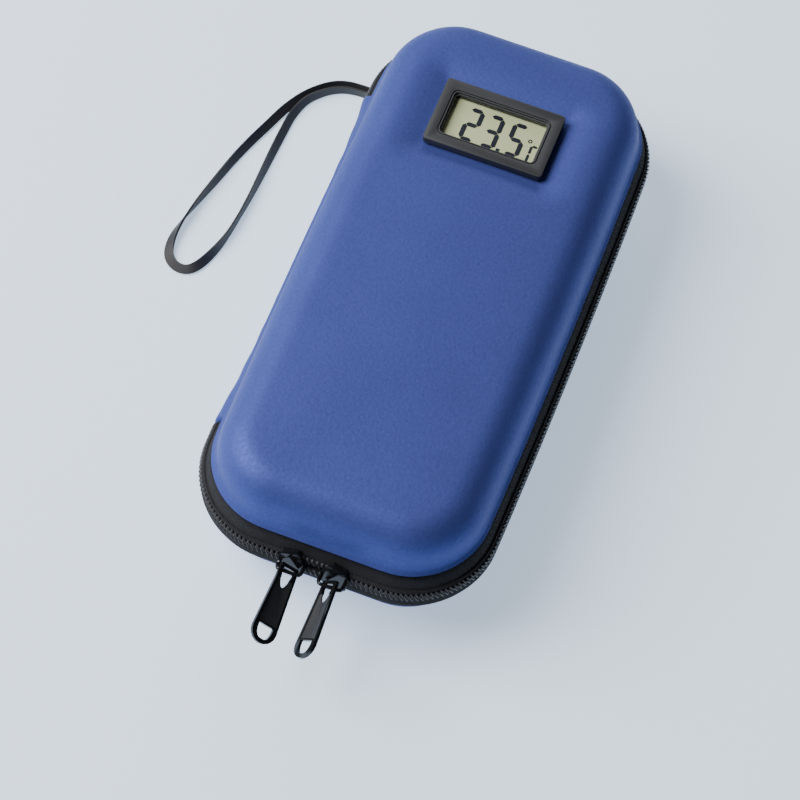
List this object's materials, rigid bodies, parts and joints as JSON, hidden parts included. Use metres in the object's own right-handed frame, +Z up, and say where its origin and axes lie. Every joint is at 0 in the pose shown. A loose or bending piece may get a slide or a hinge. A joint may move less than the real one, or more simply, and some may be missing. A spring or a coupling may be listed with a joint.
{
  "type": "insulin cooling case",
  "caption": "Zipped hard case with a panel thermometer in its lid and insulation, ice packs and pen loops inside.",
  "frame": {"origin": "middle of the base's flat underside, in the plane of the table", "axes": "+Z up out of the table, +Y along the case towards the thermometer, +X away from the cloth hinge"},
  "size_m": [0.1372, 0.2215, 0.05],
  "materials": {
    "blue_cover": "satin",
    "black_cloth": "matt",
    "black_nylon": "satin",
    "black_plastic": "satin",
    "grey_foam": "matt",
    "silver_foil": "metallic",
    "lens": "clear",
    "lcd": "satin",
    "black_metal": "satin",
    "steel": "brushed",
    "green_board": "satin",
    "blue_gel": "satin"
  },
  "bodies": {
    "base": {"base_shell": "blue_cover", "base_foam": "grey_foam", "base_lining": "silver_foil", "base_zip_tape": "black_cloth", "base_zip_coil": "black_nylon", "hinge_strip": "blue_cover", "base_ice_pack": "blue_gel", "pen_board": "black_cloth", "pen_loops_lower": "black_cloth", "pen_loops_upper": "black_cloth", "strap_tab": "black_cloth", "wrist_strap": "black_cloth"},
    "lid": {"lid_shell": "blue_cover", "lid_foam": "grey_foam", "lid_lining": "silver_foil", "lid_zip_tape": "black_cloth", "lid_zip_coil": "black_nylon", "display_frame": "black_plastic", "display_back": "black_plastic", "display_lens": "lens", "lcd_panel": "lcd", "circuit_board": "green_board", "contact_strip_upper": "black_nylon", "contact_strip_lower": "black_nylon", "button_cell_left": "steel", "button_cell_right": "steel", "battery_spring": "steel", "panel_clip_left": "steel", "panel_clip_right": "steel", "lid_ice_pack": "blue_gel", "net_pocket": "black_cloth", "net_binding": "black_cloth"},
    "left_slider": {"left_slider": "black_metal"},
    "right_slider": {"right_slider": "black_metal"},
    "left_puller": {"left_puller": "black_metal"},
    "right_puller": {"right_puller": "black_metal"},
    "battery_cover": {"battery_cover": "black_plastic"}
  },
  "joints": [
    {"name": "lid_hinge", "type": "hinge", "parent": "base", "child": "lid", "pos_m": [-0.0477, 0, 0.025], "axis": [0, -1, 0], "range_deg": [0, 170], "deforming": ["hinge_strip", "base_zip_tape", "lid_zip_tape", "base_zip_coil", "lid_zip_coil"]},
    {"name": "left_slider_slide", "type": "slide", "parent": "base", "child": "left_slider", "axis": [-1, 0, 0], "range_m": [0, 0.0076]},
    {"name": "right_slider_slide", "type": "slide", "parent": "base", "child": "right_slider", "axis": [1, 0, 0], "range_m": [0, 0.0098]},
    {"name": "left_puller_hinge", "type": "hinge", "parent": "left_slider", "child": "left_puller", "pos_m": [-0.0076, -0.10113, 0.02614], "axis": [1, 0, 0], "range_deg": [-95, 66]},
    {"name": "right_puller_hinge", "type": "hinge", "parent": "right_slider", "child": "right_puller", "pos_m": [0.0053, -0.10113, 0.02614], "axis": [1, 0, 0], "range_deg": [-95, 66]},
    {"name": "battery_cover_slide", "type": "slide", "parent": "lid", "child": "battery_cover", "axis": [1, 0, 0], "range_m": [0, 0.009]}
  ]
}
